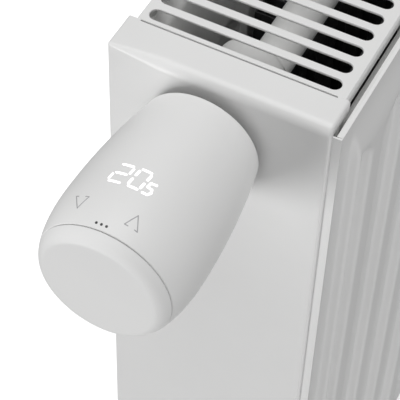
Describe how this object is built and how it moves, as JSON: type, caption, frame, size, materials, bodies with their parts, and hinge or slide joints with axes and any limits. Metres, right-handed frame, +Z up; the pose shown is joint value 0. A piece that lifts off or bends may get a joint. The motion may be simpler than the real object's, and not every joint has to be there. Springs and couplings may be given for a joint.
{
  "type": "radiator with thermostatic valve",
  "caption": "Double-panel steel convector radiator with side covers, top grille, side valve and an electronic thermostat head.",
  "frame": {"origin": "centre of the four wall lugs, on the plane of their outer faces, where the wall brackets bear", "axes": "+X along the radiator from the valve end to the vent end, +Y towards the wall, +Z up"},
  "size_m": [0.5837, 0.107, 0.4009],
  "materials": {
    "enamel": "semi-gloss stoved enamel, traffic white",
    "inner_enamel": "thin primer and overspray inside the panels",
    "head_plastic": "fine satin moulded plastic",
    "cap_plastic": "fine satin moulded plastic",
    "inner_plastic": "plain moulded plastic",
    "clip_plastic": "plain moulded plastic",
    "gear_plastic": "acetal gear plastic",
    "guide_plastic": "clear-cut diffuser plastic",
    "nickel": "satin nickel plating",
    "brass": "bright turned brass",
    "steel": "plain zinc-plated steel",
    "rubber": "moulded seal rubber",
    "board": "solder-masked circuit board",
    "cell": "plain sleeve with a bright end",
    "copper": "copper foil"
  },
  "bodies": {
    "radiator": {"front_outer_sheet": "enamel", "front_inner_sheet": "inner_enamel", "rear_inner_sheet": "inner_enamel", "rear_outer_sheet": "enamel", "front_convector": "inner_enamel", "rear_convector": "inner_enamel", "hanging_lugs": "enamel", "left_side_cover": "enamel", "right_side_cover": "enamel", "cover_clips": "clip_plastic", "top_grille": "enamel", "grille_clips": "steel", "valve_housing": "inner_enamel", "corner_tees": "inner_enamel", "supply_pipe": "inner_enamel", "return_pipe": "inner_enamel", "connection_nipples": "nickel", "connection_bridge": "inner_enamel", "blind_plugs": "nickel", "plug_seals": "rubber", "vent_plug": "nickel", "valve_insert": "nickel", "stem_seal": "rubber", "stem_guide": "brass", "mounting_base": "inner_plastic", "head_shell": "head_plastic", "gear_axle": "steel", "motor": "steel", "gear_plate": "inner_plastic", "plate_screws": "steel", "battery_tray": "inner_plastic", "batteries": "cell", "inner_contacts": "steel", "display_board": "board", "light_guide": "guide_plastic", "touch_sensor": "copper", "main_board": "board"},
    "union_nut": {"union_nut": "nickel"},
    "end_cap": {"end_cap": "cap_plastic", "cap_contact": "steel"},
    "drive_gear": {"drive_gear": "gear_plastic"},
    "plunger": {"plunger": "gear_plastic"},
    "valve_stem": {"valve_stem": "steel", "valve_disc": "rubber", "valve_spring": "steel"},
    "reduction_gear": {"reduction_gear": "gear_plastic"},
    "motor_rotor": {"motor_pinion": "brass", "motor_shaft": "steel"},
    "preset_ring": {"preset_ring": "clip_plastic"},
    "vent_screw": {"vent_screw": "nickel"}
  },
  "joints": [
    {"name": "union_nut_turn", "type": "hinge", "parent": "radiator", "child": "union_nut", "pos_m": [-0.257, -0.0493, 0.1709], "axis": [-1, 0, 0], "continuous": true},
    {"name": "end_cap_pull", "type": "slide", "parent": "radiator", "child": "end_cap", "axis": [-1, 0, 0], "range_m": [0, 0.04]},
    {"name": "drive_gear_turn", "type": "hinge", "parent": "radiator", "child": "drive_gear", "pos_m": [-0.269, -0.0493, 0.1709], "axis": [-1, 0, 0], "range_deg": [0, 540]},
    {"name": "plunger_slide", "type": "slide", "parent": "radiator", "child": "plunger", "axis": [1, 0, 0], "range_m": [0, 0.003]},
    {"name": "valve_stem_slide", "type": "slide", "parent": "radiator", "child": "valve_stem", "axis": [1, 0, 0], "range_m": [0, 0.003]},
    {"name": "reduction_gear_turn", "type": "hinge", "parent": "radiator", "child": "reduction_gear", "pos_m": [-0.271, -0.03539, 0.17652], "axis": [-1, 0, 0], "range_deg": [-2160, 0]},
    {"name": "motor_turn", "type": "hinge", "parent": "radiator", "child": "motor_rotor", "pos_m": [-0.273, -0.0423, 0.18302], "axis": [-1, 0, 0], "range_deg": [0, 6048]},
    {"name": "preset_ring_turn", "type": "hinge", "parent": "radiator", "child": "preset_ring", "pos_m": [-0.258, -0.0493, 0.1709], "axis": [-1, 0, 0], "range_deg": [0, 300]},
    {"name": "vent_screw_turn", "type": "hinge", "parent": "radiator", "child": "vent_screw", "pos_m": [0.244, -0.0493, 0.1709], "axis": [1, 0, 0], "range_deg": [0, 360]}
  ],
  "couplings": [
    {"joint": "plunger_slide", "follows": "drive_gear_turn", "m_per_rad": 0.00031831},
    {"joint": "valve_stem_slide", "follows": "drive_gear_turn", "m_per_rad": 0.00031831},
    {"joint": "reduction_gear_turn", "follows": "drive_gear_turn", "ratio": -4},
    {"joint": "motor_turn", "follows": "drive_gear_turn", "ratio": 11.2}
  ]
}
